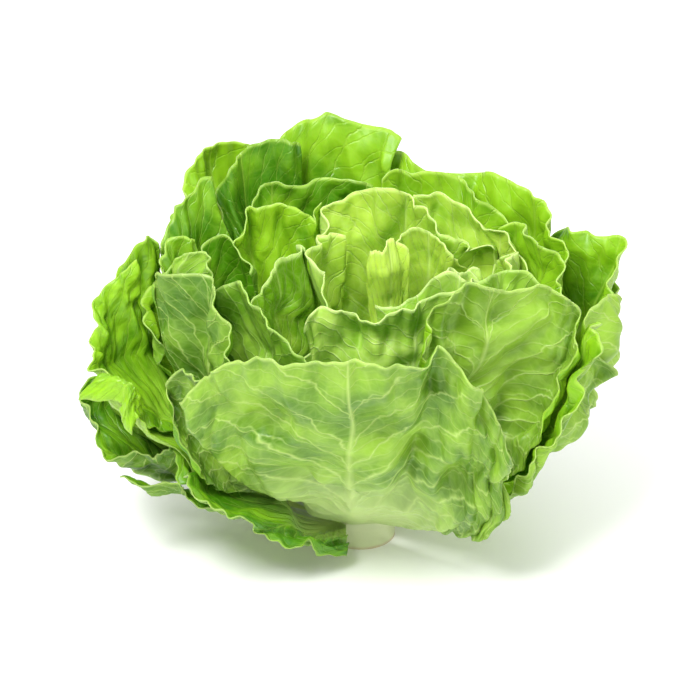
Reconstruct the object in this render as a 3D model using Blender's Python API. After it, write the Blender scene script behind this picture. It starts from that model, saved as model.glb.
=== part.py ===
"""A loose head of butterhead lettuce: broad waved leaves round one short cut stem.

Metres, +Z up, and +Y away from the front. The origin is the middle of the stem's cut
face, which the head stands on. The leaves are listed from the heart outwards. Each one
fans out in rays from its root on the stem to its rim, a curve through a few stations.
The rays belly outwards, the blade is waved towards its rim, and it is moved outwards
wherever it would cross a leaf nearer the heart. Last come folds that all leaves share.
"""

from typing import NamedTuple

import bpy
import numpy as np
from mathutils.kdtree import KDTree

MM = 0.001

# The cut stem
STEM_RADIUS = 17.0 * MM
STEM_TOP_RADIUS = 9.0 * MM
STEM_HEIGHT = 62.0 * MM
STEM_TAPER = 1.5  # above 1, the stem narrows mostly near its top
STEM_ROWS = 7
STEM_SIDES = 20
STEM_GAP = 0.3 * MM

# Where the leaves clasp the stem
HIGHEST_ROOT = 56.0 * MM
ROOT_HALF_WIDTH = 6.0 * MM
ROOT_STEP = 1.9 * MM
SMALL_STEP = 0.3 * MM
SAME_SIDE = np.radians(65)

# The blades, with places along a ray as shares of the way from its root to the rim
BLADE_THICKNESS = 0.8 * MM
ROOT_THICKNESS = 1.1 * MM
THICK_SHARE = 0.3
RIB_HEIGHT = 2.5 * MM
RIB_HALF_WIDTH = 5.0 * MM
RIB_START = (0.05, 0.2)
FAN_END = (0.1, 0.8)
FOLD_START = (0.1, 0.7)
WAVE_LENGTH = 34.0 * MM
WAVE_START = (0.3, 1.05)
SIDE_SHARE = 0.12  # the waves die away in this share of the rim at either end
WAVE_DRIFT = 1.3  # how far the waves are drawn together and apart, in radians
DRIFT_RATE = 4.1
RIPPLE_SHARE = 0.4  # a shorter wave that rides on the first
RIPPLE_RATE = 2.3

# How a leaf's rays bend: two Bezier points for each kind, as shares of the run and rise
BOWL = ((0.5, 0.15), (1.0, 0.5))
SHALLOW = ((0.45, 0.25), (0.95, 0.52))
HEART_BOWL = ((0.9, 0.15), (1.15, 0.6))
UPRIGHT = ((0.65, 0.08), (1.02, 0.55))
STRAIGHT = ((0.38, 0.42), (0.88, 0.76))
ROLLED = ((0.5, 0.3), (1.05, 1.5))

# How finely a blade is worked out, and how much of it is kept
RAYS = 81
RINGS = 37
RIM_STEPS = 600
KEPT_PER_METRE = 0.24
LEAST_LEAN = 0.6  # the least sine of the angle between a rim's end and its ray
FAN_SMOOTHS = 200
NORMAL_SMOOTHS = 3
BLADE_SMOOTHS = 12
SMALLEST = 1e-12

# Room kept between the leaves, measured along lines from the heart
HEART = np.array((16.0, -2.0, 100.0)) * MM
ROOM = 2.8 * MM
CELLS_ROUND = 360
CELLS_DOWN = 180
PUSH_SLOPE = 0.1
PUSH_SMOOTHS = 4
PUSH_FADE = 0.08
MOST_INSIDE = 3.0 * MM
STEM_ROOM = 1.5 * MM
FLOOR_GAP = 2.5 * MM

# Folds that run through every leaf, in and out along lines from the heart
CRUMPLE_HEIGHT = 9.0 * MM
CRUMPLE_REACH = 50.0 * MM  # where they have grown to half of their height
CRUMPLES = 4.5  # swells and hollows for each radian, as seen from the heart
CRUMPLE_SEED = 8
TO_STEM = np.array((-0.158, 0.02, -0.987))
STEM_VIEW = (0.72, 0.9)  # cosines of the angle to the stem where they die away
LEFT = np.array((-0.93, -0.1, -0.35))
LEFT_VIEW = (0.2, 0.95)
LEFT_PULL = 0.085  # share by which the leaves on the left stand nearer the heart

# Colours, paler and yellower towards the heart
HEART_COLOUR = np.array((0.72, 0.80, 0.30))
OUTER_COLOUR = np.array((0.30, 0.56, 0.07))
STEM_COLOUR = (0.86, 0.88, 0.74)
LEAF_ROUGHNESS = 0.45
STEM_ROUGHNESS = 0.5


class Leaf(NamedTuple):
    """One leaf, with its rim's stations in millimetres from one side to the other."""

    name: str
    rim: tuple
    bowl: tuple = BOWL
    wave: float = 3.5  # height of the waves at the rim, in millimetres
    rib: float = 0.5  # where the midrib would meet the rim, as a share of its length
    folds: tuple = ()  # each one's place and width as shares of the rim, and its height


LEAVES = (
    Leaf(
        "heart_leaf_1",
        (
            (-1, 7, 124), (1, 3, 144), (5, -1, 154), (11, -3, 158), (19, -1, 156),
            (24, 5, 145), (26, 11, 126),
        ),
        bowl=HEART_BOWL,
        wave=1.5,
    ),
    Leaf(
        "heart_leaf_2",
        (
            (22, -15, 122), (29, -19, 140), (38, -18, 150), (48, -13, 151), (56, -5, 146),
            (59, 5, 128),
        ),
        bowl=HEART_BOWL,
        wave=2.0,
    ),
    Leaf(
        "heart_leaf_3",
        (
            (48, 16, 144), (36, 19, 151), (26, 17, 153), (16, 15, 148), (8, 11, 126),
        ),
        bowl=HEART_BOWL,
        wave=2.5,
    ),
    Leaf(
        "heart_leaf_4",
        (
            (52, -17, 120), (60, -15, 140), (68, -9, 150), (72, 1, 151), (70, 11, 145),
            (64, 19, 124),
        ),
        bowl=HEART_BOWL,
        wave=3.0,
    ),
    Leaf(
        "inner_leaf_1",
        (
            (-20, 23, 150), (-12, 33, 162), (2, 39, 168), (17, 37, 166), (29, 33, 160),
            (37, 25, 154), (43, 11, 126),
        ),
        bowl=UPRIGHT,
        wave=3.0,
    ),
    Leaf(
        "inner_leaf_2",
        (
            (4, -25, 116), (-10, -19, 134), (-20, -9, 150), (-19, 5, 157), (-10, 15, 154),
        ),
        bowl=UPRIGHT,
        wave=2.5,
    ),
    Leaf(
        "inner_leaf_3",
        (
            (20, 31, 130), (27, 39, 160), (37, 40, 162), (50, 37, 158), (62, 29, 157),
            (69, 17, 154), (72, 3, 142), (70, -9, 122),
        ),
        bowl=UPRIGHT,
        wave=3.0,
    ),
    Leaf(
        "inner_leaf_4",
        (
            (8, -25, 138), (14, -30, 139), (24, -33, 146), (38, -31, 153), (51, -25, 151),
            (60, -15, 136), (62, -9, 118),
        ),
        bowl=UPRIGHT,
        wave=3.0,
    ),
    Leaf(
        "inner_leaf_5",
        (
            (-61, -31, 136), (-56, -25, 150), (-44, -15, 155), (-34, -9, 155),
            (-22, -4, 150), (-18, 3, 136), (-16, 9, 116),
        ),
        bowl=UPRIGHT,
        wave=3.0,
    ),
    Leaf(
        "inner_leaf_6",
        (
            (-28, -33, 112), (-23, -38, 136), (-16, -40, 144), (-7, -41, 144),
            (2, -41, 137), (14, -42, 143), (26, -42, 147), (44, -38, 153), (60, -30, 154),
            (70, -19, 142), (72, -11, 118),
        ),
        bowl=UPRIGHT,
        wave=3.0,
    ),
    Leaf(
        "middle_leaf_1",
        (
            (62, 33, 124), (68, 27, 152), (74, 16, 157), (84, 7, 153), (92, -3, 149),
            (95, -11, 143), (92, -21, 138),
        ),
        bowl=UPRIGHT,
        wave=3.5,
    ),
    Leaf(
        "middle_leaf_2",
        (
            (-70, 11, 120), (-66, 25, 152), (-58, 34, 163), (-48, 31, 161), (-38, 33, 164),
            (-29, 29, 161), (-22, 25, 153), (-15, 31, 160),
        ),
        bowl=UPRIGHT,
        wave=2.5,
    ),
    Leaf(
        "middle_leaf_5",
        (
            (-90, -15, 116), (-88, 1, 150), (-82, 9, 160), (-73, 12, 163), (-65, 5, 158),
            (-58, -7, 151),
        ),
        bowl=UPRIGHT,
        wave=2.5,
    ),
    Leaf(
        "middle_leaf_3",
        (
            (-79, -25, 142), (-73, -34, 154), (-58, -43, 160), (-49, -52, 152),
            (-44, -56, 145), (-35, -61, 140), (-26, -65, 130), (-14, -65, 108),
        ),
        bowl=UPRIGHT,
        wave=2.0,
    ),
    Leaf(
        "middle_leaf_4",
        (
            (2, 47, 124), (6, 55, 162), (14, 57, 171), (22, 55, 166), (32, 57, 169),
            (46, 53, 165), (58, 46, 161), (69, 35, 153), (78, 21, 124),
        ),
        bowl=UPRIGHT,
        wave=3.0,
    ),
    Leaf(
        "middle_leaf_6",
        (
            (24, -53, 110), (32, -53, 136), (42, -49, 150), (54, -44, 157), (67, -36, 160),
            (80, -33, 157), (90, -34, 151), (98, -35, 140),
        ),
        bowl=UPRIGHT,
        wave=3.0,
    ),
    Leaf(
        "middle_leaf_7",
        (
            (-62, 39, 120), (-52, 47, 154), (-38, 51, 167), (-28, 51, 164), (-16, 53, 168),
            (-4, 53, 169), (6, 56, 165),
        ),
        bowl=UPRIGHT,
        wave=3.0,
    ),
    Leaf(
        "middle_leaf_8",
        (
            (-101, -6, 130), (-97, -6, 150), (-90, -9, 161), (-82, -15, 163),
            (-76, -23, 161), (-72, -31, 150),
        ),
        bowl=UPRIGHT,
        wave=1.0,
    ),
    Leaf(
        "middle_leaf_9",
        (
            (-106, -15, 112), (-107, 1, 138), (-104, 13, 152), (-99, 19, 157),
            (-92, 21, 156), (-84, 24, 151),
        ),
        bowl=UPRIGHT,
        wave=2.5,
    ),
    Leaf(
        "outer_leaf_1",
        (
            (96, -3, 112), (96, 15, 140), (93, 31, 152), (86, 41, 160), (80, 48, 165),
            (70, 55, 170), (63, 59, 171), (48, 63, 165), (38, 65, 166), (28, 67, 154),
            (20, 67, 120),
        ),
    ),
    Leaf(
        "outer_leaf_2",
        (
            (-104, 5, 108), (-103, 21, 136), (-98, 33, 151), (-93, 40, 158),
            (-84, 47, 163), (-73, 54, 167), (-66, 55, 156),
        ),
        bowl=UPRIGHT,
        wave=2.5,
    ),
    Leaf(
        "outer_leaf_3",
        (
            (28, -73, 104), (28, -70, 134), (31, -64, 155), (45, -58, 162), (57, -55, 161),
            (70, -50, 161), (89, -44, 154), (99, -41, 142), (99, -49, 122), (95, -55, 102),
            (87, -59, 84),
        ),
        wave=1.5,
        rib=0.42,
    ),
    Leaf(
        "outer_leaf_4",
        (
            (-12, 67, 116), (-20, 73, 152), (-27, 77, 172), (-36, 78, 179), (-45, 78, 178),
            (-56, 74, 172), (-68, 68, 162), (-76, 63, 144),
        ),
        wave=3.0,
    ),
    Leaf(
        "outer_leaf_5",
        (
            (-104, -32, 152), (-103, -30, 160), (-93, -37, 161), (-82, -42, 163),
            (-75, -53, 154), (-67, -69, 138), (-58, -79, 108),
        ),
        bowl=UPRIGHT,
        wave=1.5,
        rib=0.4,
    ),
    Leaf(
        "outer_leaf_6",
        (
            (22, 65, 154), (16, 70, 173), (14, 77, 179), (5, 82, 184), (-10, 86, 185),
            (-23, 88, 183), (-36, 89, 176), (-48, 91, 154), (-58, 89, 112),
        ),
    ),
    Leaf(
        "outer_leaf_7",
        (
            (111, -15, 96), (118, -1, 120), (120, 11, 135), (123, 23, 143), (117, 28, 146),
            (112, 31, 142), (104, 35, 146), (94, 45, 143), (84, 59, 112),
        ),
        bowl=UPRIGHT,
        wave=3.0,
    ),
    Leaf(
        "outer_leaf_8",
        (
            (78, 67, 104), (68, 75, 142), (54, 79, 157), (42, 79, 162), (32, 79, 166),
            (22, 83, 172), (10, 89, 169), (-2, 96, 152),
        ),
    ),
    Leaf(
        "outer_leaf_9",
        (
            (-16, 105, 104), (-32, 103, 146), (-50, 100, 165), (-66, 94, 170),
            (-80, 88, 169), (-88, 78, 163), (-93, 64, 155), (-99, 48, 132),
            (-100, 37, 100),
        ),
        wave=3.0,
    ),
    Leaf(
        "outer_leaf_10",
        (
            (-83, -65, 64), (-96, -61, 82), (-97, -59, 102), (-89, -63, 123),
            (-74, -79, 125), (-43, -93, 128), (-8, -97, 122),
        ),
        bowl=SHALLOW,
        wave=2.0,
    ),
    Leaf(
        "outer_leaf_11",
        (
            (-96, -47, 88), (-108, -31, 104), (-118, -17, 117), (-113, -11, 130),
            (-107, -9, 142), (-100, -3, 146),
        ),
        bowl=STRAIGHT,
        wave=2.5,
    ),
    Leaf(
        "back_leaf_1",
        (
            (32, 105, 74), (12, 109, 106), (-14, 111, 122), (-44, 107, 126),
            (-70, 97, 116), (-86, 81, 92),
        ),
        wave=5.0,
    ),
    Leaf(
        "back_leaf_2",
        (
            (-60, 97, 66), (-78, 85, 90), (-96, 63, 102), (-106, 39, 100), (-106, 19, 80),
        ),
        wave=5.0,
    ),
    Leaf(
        "back_leaf_3",
        (
            (102, 19, 82), (104, 39, 102), (94, 61, 114), (77, 79, 124), (52, 93, 126),
            (26, 101, 108), (12, 103, 78),
        ),
        bowl=SHALLOW,
        wave=5.0,
    ),
    Leaf(
        "back_leaf_4",
        (
            (90, 5, 66), (97, 23, 82), (94, 45, 96), (80, 69, 102), (56, 89, 90),
            (38, 95, 64),
        ),
        bowl=SHALLOW,
        wave=4.0,
    ),
    Leaf(
        "low_leaf_3",
        (
            (68, 73, 38), (50, 95, 66), (22, 109, 80), (-14, 111, 80), (-44, 99, 64),
            (-58, 81, 38),
        ),
        bowl=SHALLOW,
        wave=5.0,
    ),
    Leaf(
        "outer_leaf_12",
        (
            (102, -31, 114), (104, -23, 130), (110, -15, 135), (120, -1, 129),
            (128, 15, 120), (123, 31, 122), (114, 43, 125), (102, 57, 120), (88, 71, 96),
        ),
        bowl=SHALLOW,
        wave=2.0,
    ),
    Leaf(
        "right_leaf",
        (
            (30, -35, 28), (52, -53, 42), (68, -63, 56), (81, -63, 72), (91, -59, 88),
            (95, -53, 108), (98, -46, 128), (102, -39, 137), (106, -29, 122),
            (107, -17, 98), (102, -1, 70),
        ),
        bowl=SHALLOW,
        wave=2.5,
    ),
    Leaf(
        "front_leaf",
        (
            (-87, -79, 111), (-74, -89, 130), (-59, -96, 143), (-29, -104, 147),
            (-1, -107, 150), (25, -106, 144), (30, -104, 158), (47, -96, 137),
            (61, -88, 110), (66, -83, 86), (70, -73, 61), (64, -65, 44),
        ),
        bowl=SHALLOW,
        wave=1.0,
        rib=0.36,
        folds=((0.1, 0.05, -4), (0.54, 0.05, -4), (0.63, 0.06, 5), (0.82, 0.05, 3)),
    ),
    Leaf(
        "low_leaf_2",
        (
            (-6, -39, 13), (-29, -57, 24), (-49, -64, 30), (-58, -71, 38), (-65, -73, 49),
            (-75, -71, 52), (-84, -66, 64), (-86, -55, 62), (-80, -43, 50),
        ),
        bowl=STRAIGHT,
        wave=2.5,
    ),
    Leaf(
        "curled_leaf",
        (
            (-90, -53, 88), (-98, -49, 100), (-110, -42, 99), (-118, -34, 97),
            (-120, -25, 101), (-117, -15, 106),
        ),
        bowl=ROLLED,
        wave=1.5,
    ),
    Leaf(
        "left_leaf",
        (
            (-94, 45, 96), (-102, 33, 132), (-108, 23, 153), (-117, 19, 161),
            (-127, 17, 150), (-137, 15, 129), (-141, 12, 116), (-139, 5, 99),
            (-136, -3, 88), (-126, -13, 87), (-117, -21, 87), (-107, -27, 82),
        ),
        bowl=SHALLOW,
        wave=2.5,
    ),
    Leaf(
        "ruffled_leaf",
        (
            (-88, -55, 56), (-101, -45, 70), (-110, -41, 62), (-120, -31, 54),
            (-128, -23, 58), (-128, -17, 66), (-132, -9, 72), (-128, 5, 84),
            (-114, 17, 74),
        ),
        bowl=STRAIGHT,
        wave=4.5,
    ),
    Leaf(
        "low_leaf_1",
        (
            (-66, -53, 36), (-82, -49, 41), (-98, -44, 46), (-110, -38, 47),
            (-112, -30, 49), (-104, -22, 48), (-92, -13, 43), (-78, -5, 36),
        ),
        bowl=STRAIGHT,
        wave=1.5,
    ),
)


def ease(x, start, end):
    """0 before start, 1 after end, and smooth between them."""
    t = np.clip((x - start) / (end - start), 0.0, 1.0)
    return t * t * (3 - 2 * t)


def stem_radius(height):
    """The stem's radius at a height above its cut face."""
    share = np.clip(height / STEM_HEIGHT, 0, 1)
    return STEM_RADIUS + (STEM_TOP_RADIUS - STEM_RADIUS) * share**STEM_TAPER


def bearing_of(leaf):
    """The way the leaf points, seen from above."""
    x, y, _ = np.mean(leaf.rim, axis=0)
    return np.arctan2(y, x)


def root_heights():
    """How high on the stem each leaf grows: lower than the ones before it on its side."""
    bearings = [bearing_of(leaf) for leaf in LEAVES]
    heights = []
    for bearing in bearings:
        height = HIGHEST_ROOT
        for other, above in zip(bearings, heights):
            apart = abs((bearing - other + np.pi) % (2 * np.pi) - np.pi)
            height = min(height, above - (ROOT_STEP if apart < SAME_SIDE else SMALL_STEP))
        heights.append(height)
    return heights


def rim_of(leaf):
    """A smooth curve through the leaf's stations."""
    stations = np.array(leaf.rim, dtype=float) * MM
    gaps = np.linalg.norm(np.diff(stations, axis=0), axis=1)
    places = np.concatenate(([0], np.cumsum(gaps)))
    slopes = np.gradient(stations, places, axis=0)
    at = np.linspace(0, places[-1], RIM_STEPS)
    low = np.clip(np.searchsorted(places, at, side="right") - 1, 0, len(gaps) - 1)
    gap = gaps[low][:, None]
    t = (at[:, None] - places[low][:, None]) / gap
    curve = stations[low] * (2 * t**3 - 3 * t**2 + 1) + slopes[low] * gap * (t**3 - 2 * t**2 + t)
    curve += stations[low + 1] * (3 * t**2 - 2 * t**3) + slopes[low + 1] * gap * (t**3 - t**2)
    return curve


def clear_part(rim, filled):
    """The rim without the ends that would lie well inside leaves nearer the heart."""
    around, down, _, distance = cells_of(rim)
    clear = np.flatnonzero(filled[around, down] - distance < MOST_INSIDE)
    return rim[clear[0]:clear[-1] + 1]


def turns(line, sideways, rising):
    """How far each line from the root leans to the side, as an angle in the leaf's plane."""
    return np.unwrap(np.arctan2(line @ sideways, line @ rising))


def spaced(line):
    """The rim's lines at even steps, and its length, without ends that run along its rays."""
    steps = np.diff(line, axis=0)
    middles = (line[1:] + line[:-1]) / 2
    size = np.linalg.norm(steps, axis=1) * np.linalg.norm(middles, axis=1)
    lean = np.linalg.norm(np.cross(steps, middles), axis=1) / size
    kept = np.flatnonzero(lean > LEAST_LEAN)
    line = line[kept[0]:kept[-1] + 2]
    length = np.concatenate(([0], np.cumsum(np.linalg.norm(np.diff(line, axis=0), axis=1))))
    even = np.linspace(0, length[-1], RAYS)
    return np.stack([np.interp(even, length, line[:, k]) for k in range(3)], axis=-1), length[-1]


def even_fan(line, sideways, rising):
    """The rim's lines from the root without its folds: spread evenly and softened."""
    facing = np.cross(sideways, rising)
    turn = turns(line, sideways, rising)
    spread = np.linspace(turn[0], turn[-1], RAYS)
    length = np.hypot(line @ sideways, line @ rising)
    bulge = line @ facing
    for _ in range(FAN_SMOOTHS):
        length[1:-1] = (length[2:] + length[1:-1] + length[:-2]) / 3
        bulge[1:-1] = (bulge[2:] + bulge[1:-1] + bulge[:-2]) / 3
    fan = np.outer(length * np.sin(spread), sideways) + np.outer(length * np.cos(spread), rising)
    return fan + np.outer(bulge, facing)


def softened(grid):
    """Each value of the grid averaged with those next to it, along both of its sides."""
    wider = [(1, 1), (1, 1)] + [(0, 0)] * (grid.ndim - 2)
    near = np.pad(grid, wider, mode="reflect", reflect_type="odd")
    sides = near[2:, 1:-1] + near[:-2, 1:-1] + near[1:-1, 2:] + near[1:-1, :-2]
    return (2 * grid + sides) / 6


def normals_of(points):
    """The direction in which each point's surface faces, on its outer side."""
    across = np.gradient(points, axis=0)
    along = np.gradient(points, axis=1)
    along[:, 0] = along[:, 1]
    facing = np.cross(across, along)
    for _ in range(NORMAL_SMOOTHS):
        facing = softened(facing)
    return facing / np.maximum(np.linalg.norm(facing, axis=-1, keepdims=True), SMALLEST)


def blade(leaf, rank, height, filled):
    """The leaf's inner face as a grid of points: rays of its fan by rings to its rim."""
    rim = clear_part(rim_of(leaf), filled)
    bearing = bearing_of(leaf)
    outwards = np.array((np.cos(bearing), np.sin(bearing), 0))
    sideways = np.array((-np.sin(bearing), np.cos(bearing), 0))
    root = outwards * (stem_radius(height) + STEM_GAP) + (0, 0, height)
    if (rim[-1] - rim[0]) @ sideways < 0:
        rim = rim[::-1]
    rising = np.mean(rim - root, axis=0)
    rising = rising - sideways * (rising @ sideways)
    rising = rising / np.linalg.norm(rising)
    line, length = spaced(rim - root)
    share = np.linspace(0, 1, RAYS)[:, None]
    along = np.linspace(0, 1, RINGS)[None, :]
    foot = root + sideways * ROOT_HALF_WIDTH * (2 * share - 1)

    even = even_fan(line, sideways, rising)
    folded = (line - even)[:, None, :] * ease(along, *FAN_END)[..., None]
    reach = (even + root - foot)[:, None, :] + folded
    (low_run, low_rise), (high_run, high_rise) = leaf.bowl
    low, high = 3 * along * (1 - along) ** 2, 3 * along**2 * (1 - along)
    run = low * low_run + high * high_run + along**3
    rise = low * low_rise + high * high_rise + along**3
    points = foot[:, None, :] + reach * np.stack((run, run, rise), axis=-1)

    turn = 2 * np.pi * share * length / WAVE_LENGTH + rank
    turn = turn + WAVE_DRIFT * np.sin(DRIFT_RATE * share + 3 * rank)
    wave = np.sin(turn) + RIPPLE_SHARE * np.sin(RIPPLE_RATE * turn + rank)
    side = ease(np.minimum(share, 1 - share), 0, SIDE_SHARE)
    lift = leaf.wave * MM * wave * ease(along, *WAVE_START) * side
    aside = (share - leaf.rib) * length * along
    rib = np.exp(-((aside / RIB_HALF_WIDTH) ** 2)) * (1 - along) * ease(along, *RIB_START)
    lift = lift + RIB_HEIGHT * rib
    for place, width, fold in leaf.folds:
        ridge = np.exp(-(((share - place) / width) ** 2))
        lift = lift + fold * MM * ridge * ease(along, *FOLD_START)
    return points + normals_of(points) * lift[..., None]


def finer(points):
    """The grid of points with two more between each two, so that no cell is missed."""
    for axis in (0, 1):
        count = points.shape[axis]
        at = np.linspace(0, count - 1, 3 * (count - 1) + 1)
        low = np.minimum(at.astype(int), count - 2)
        part = (at - low).reshape((-1, 1, 1) if axis == 0 else (1, -1, 1))
        points = np.take(points, low, axis) * (1 - part) + np.take(points, low + 1, axis) * part
    return points


def cells_of(points):
    """The cell of each point, as seen from the heart, its direction and its distance."""
    line = points - HEART
    distance = np.linalg.norm(line, axis=-1)
    line = line / distance[..., None]
    around = (np.arctan2(line[..., 1], line[..., 0]) / (2 * np.pi) % 1 * CELLS_ROUND).astype(int)
    down = (np.arccos(np.clip(line[..., 2], -1, 1)) / np.pi * CELLS_DOWN).astype(int)
    return np.clip(around, 0, CELLS_ROUND - 1), np.clip(down, 0, CELLS_DOWN - 1), line, distance


def widened(filled):
    """Each cell takes the furthest distance among itself and its neighbours."""
    rows = np.max([np.roll(filled, shift, axis=0) for shift in (-1, 0, 1)], axis=0)
    near = np.pad(rows, ((0, 0), (1, 1)), mode="edge")
    return np.max((near[:, :-2], near[:, 1:-1], near[:, 2:]), axis=0)


def cleared(points, filled):
    """The blade moved outwards to stand clear of the cells that are filled.

    How far depends on the direction from the heart alone, and falls away slowly round
    each place that must move, so a blade never passes through itself.
    """
    around, down, _, distance = cells_of(finer(points))
    short = np.zeros_like(filled)
    np.maximum.at(short, (around, down), widened(filled)[around, down] + ROOM - distance)
    _, _, line, _ = cells_of(points)
    places = np.argwhere(short > 0)
    if len(places) == 0:
        return points
    turn, fall = ((places + 0.5) * (2 * np.pi / CELLS_ROUND, np.pi / CELLS_DOWN)).T
    spots = np.stack((np.sin(fall) * np.cos(turn), np.sin(fall) * np.sin(turn), np.cos(fall)))
    apart = np.sqrt(np.maximum(2 - 2 * line @ spots, 0))
    push = np.max(short[short > 0] - PUSH_SLOPE * apart, axis=-1, initial=0)
    for _ in range(PUSH_SMOOTHS):
        push = softened(push)
    push = push * ease(np.linspace(0, 1, RINGS), 0, PUSH_FADE)
    return points + line * push[..., None]


def clear_of_stem(points):
    """The blade moved off the stem, where a ray would pass through it."""
    radius = np.hypot(points[..., 0], points[..., 1])
    room = STEM_GAP + STEM_ROOM * ease(np.linspace(0, 1, RINGS), 0, PUSH_FADE)
    need = np.where(points[..., 2] < STEM_HEIGHT + STEM_ROOM, stem_radius(points[..., 2]) + room, 0)
    points[..., :2] *= np.maximum(need / radius, 1)[..., None]
    points[..., 2] = np.maximum(points[..., 2], FLOOR_GAP)
    return points


def smooth(points):
    """The blade without sharp creases, its root kept."""
    for _ in range(BLADE_SMOOTHS):
        points[:, 1:] = softened(points)[:, 1:]
    return points


def mark(points, filled):
    """Notes this blade's outer face in the cells it fills."""
    around, down, _, distance = cells_of(finer(points))
    np.maximum.at(filled, (around, down), distance + BLADE_THICKNESS)


def swells(line):
    """Smooth random heights for each direction, between -1 and 1."""
    steps = int(2 * CRUMPLES) + 2
    table = np.random.default_rng(CRUMPLE_SEED).uniform(-1, 1, (steps, steps, steps))
    place = (line + 1) * CRUMPLES
    cell = place.astype(int)
    near = ease(place - cell, 0, 1)
    height = 0
    for corner in np.ndindex(2, 2, 2):
        share = np.prod(np.where(corner, near, 1 - near), axis=-1)
        height = height + share * table[tuple(np.moveaxis(cell + corner, -1, 0))]
    return height


def crumpled(points):
    """The blade with the folds that all the leaves share, so that none of them meet."""
    _, _, line, distance = cells_of(points)
    free = 1 - ease(line @ TO_STEM, *STEM_VIEW)
    fold = CRUMPLE_HEIGHT * swells(line) * distance**2 / (distance**2 + CRUMPLE_REACH**2)
    pull = LEFT_PULL * ease(line @ LEFT, *LEFT_VIEW)
    return points + line * (free * (fold - pull * distance))[..., None]


def material(name, colour, roughness):
    """A plain finish in one colour."""
    made = bpy.data.materials.new(name)
    made.use_nodes = True
    shader = made.node_tree.nodes["Principled BSDF"]
    shader.inputs["Base Color"].default_value = (*colour, 1)
    shader.inputs["Roughness"].default_value = roughness
    shader.inputs["Metallic"].default_value = 0
    return made


def added(name, mesh, finish):
    """The mesh as an object of the scene, with its finish."""
    made = bpy.data.objects.new(name, mesh)
    bpy.context.scene.collection.objects.link(made)
    mesh.materials.append(finish)
    mesh.shade_smooth()
    return made


def fewer_triangles(points):
    """The blade as few triangles: their corners and faces."""
    number = np.arange(RAYS * RINGS).reshape(RAYS, RINGS)
    faces = np.stack(
        (number[:-1, :-1], number[1:, :-1], number[1:, 1:], number[:-1, 1:]), axis=-1
    ).reshape(-1, 4)
    mesh = bpy.data.meshes.new("blade")
    mesh.from_pydata(points.reshape(-1, 3).tolist(), [], faces.tolist())
    whole = bpy.data.objects.new("blade", mesh)
    bpy.context.scene.collection.objects.link(whole)
    fewer = whole.modifiers.new("fewer triangles", "DECIMATE")
    fewer.ratio = KEPT_PER_METRE * np.linalg.norm(np.diff(points[:, -1], axis=0), axis=1).sum()
    made = whole.evaluated_get(bpy.context.evaluated_depsgraph_get()).to_mesh()
    made.calc_loop_triangles()
    corners = np.array([corner.co for corner in made.vertices])
    faces = np.array([tuple(face.vertices) for face in made.loop_triangles])
    bpy.data.objects.remove(whole)
    bpy.data.meshes.remove(mesh)
    return corners, faces


def leaf_object(leaf, points, finish):
    """The blade as a mesh with few triangles, thickened on its outer side."""
    corners, faces = fewer_triangles(points)
    tree = KDTree(RAYS * RINGS)
    for index, point in enumerate(points.reshape(-1, 3)):
        tree.insert(point, index)
    tree.balance()
    nearest = np.array([tree.find(corner)[1] for corner in corners])
    root = 1 - ease(nearest % RINGS / (RINGS - 1), 0, THICK_SHARE)
    thickness = BLADE_THICKNESS + (ROOT_THICKNESS - BLADE_THICKNESS) * root
    facing = normals_of(points).reshape(-1, 3)[nearest]
    count = len(corners)
    edges = {(a, b) for face in faces.tolist() for a, b in zip(face, face[1:] + face[:1])}
    rim = [(b + count, a + count, a, b) for a, b in sorted(edges) if (b, a) not in edges]
    mesh = bpy.data.meshes.new(leaf.name)
    mesh.from_pydata(
        np.concatenate((corners, corners + facing * thickness[:, None])).tolist(),
        [],
        faces[:, ::-1].tolist() + (faces + count).tolist() + rim,
    )
    return added(leaf.name, mesh, finish)


def stem_object(finish):
    """The stem, turned from its profile, with the flat cut at its foot."""
    ring = np.linspace(0, 2 * np.pi, STEM_SIDES, endpoint=False)
    points = []
    for height in np.linspace(0, STEM_HEIGHT, STEM_ROWS):
        radius = stem_radius(height)
        points += [(radius * np.cos(t), radius * np.sin(t), height) for t in ring]
    faces = []
    for row in range(STEM_ROWS - 1):
        low, high = row * STEM_SIDES, (row + 1) * STEM_SIDES
        for side in range(STEM_SIDES):
            after = (side + 1) % STEM_SIDES
            faces.append((low + side, low + after, high + after, high + side))
    faces.append(tuple(reversed(range(STEM_SIDES))))
    faces.append(tuple(range((STEM_ROWS - 1) * STEM_SIDES, STEM_ROWS * STEM_SIDES)))
    mesh = bpy.data.meshes.new("stem")
    mesh.from_pydata(points, [], faces)
    return added("stem", mesh, finish)


def main():
    for old in list(bpy.data.objects):
        bpy.data.objects.remove(old)
    stem_object(material("stem", STEM_COLOUR, STEM_ROUGHNESS))
    filled = np.zeros((CELLS_ROUND, CELLS_DOWN))
    for rank, (leaf, height) in enumerate(zip(LEAVES, root_heights())):
        points = smooth(clear_of_stem(blade(leaf, rank, height, filled)))
        points = clear_of_stem(smooth(cleared(points, filled)))
        mark(points, filled)
        share = rank / (len(LEAVES) - 1)
        colour = HEART_COLOUR * (1 - share) + OUTER_COLOUR * share
        leaf_object(leaf, crumpled(points), material(leaf.name, colour, LEAF_ROUGHNESS))


main()
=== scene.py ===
from typing import NamedTuple

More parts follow.
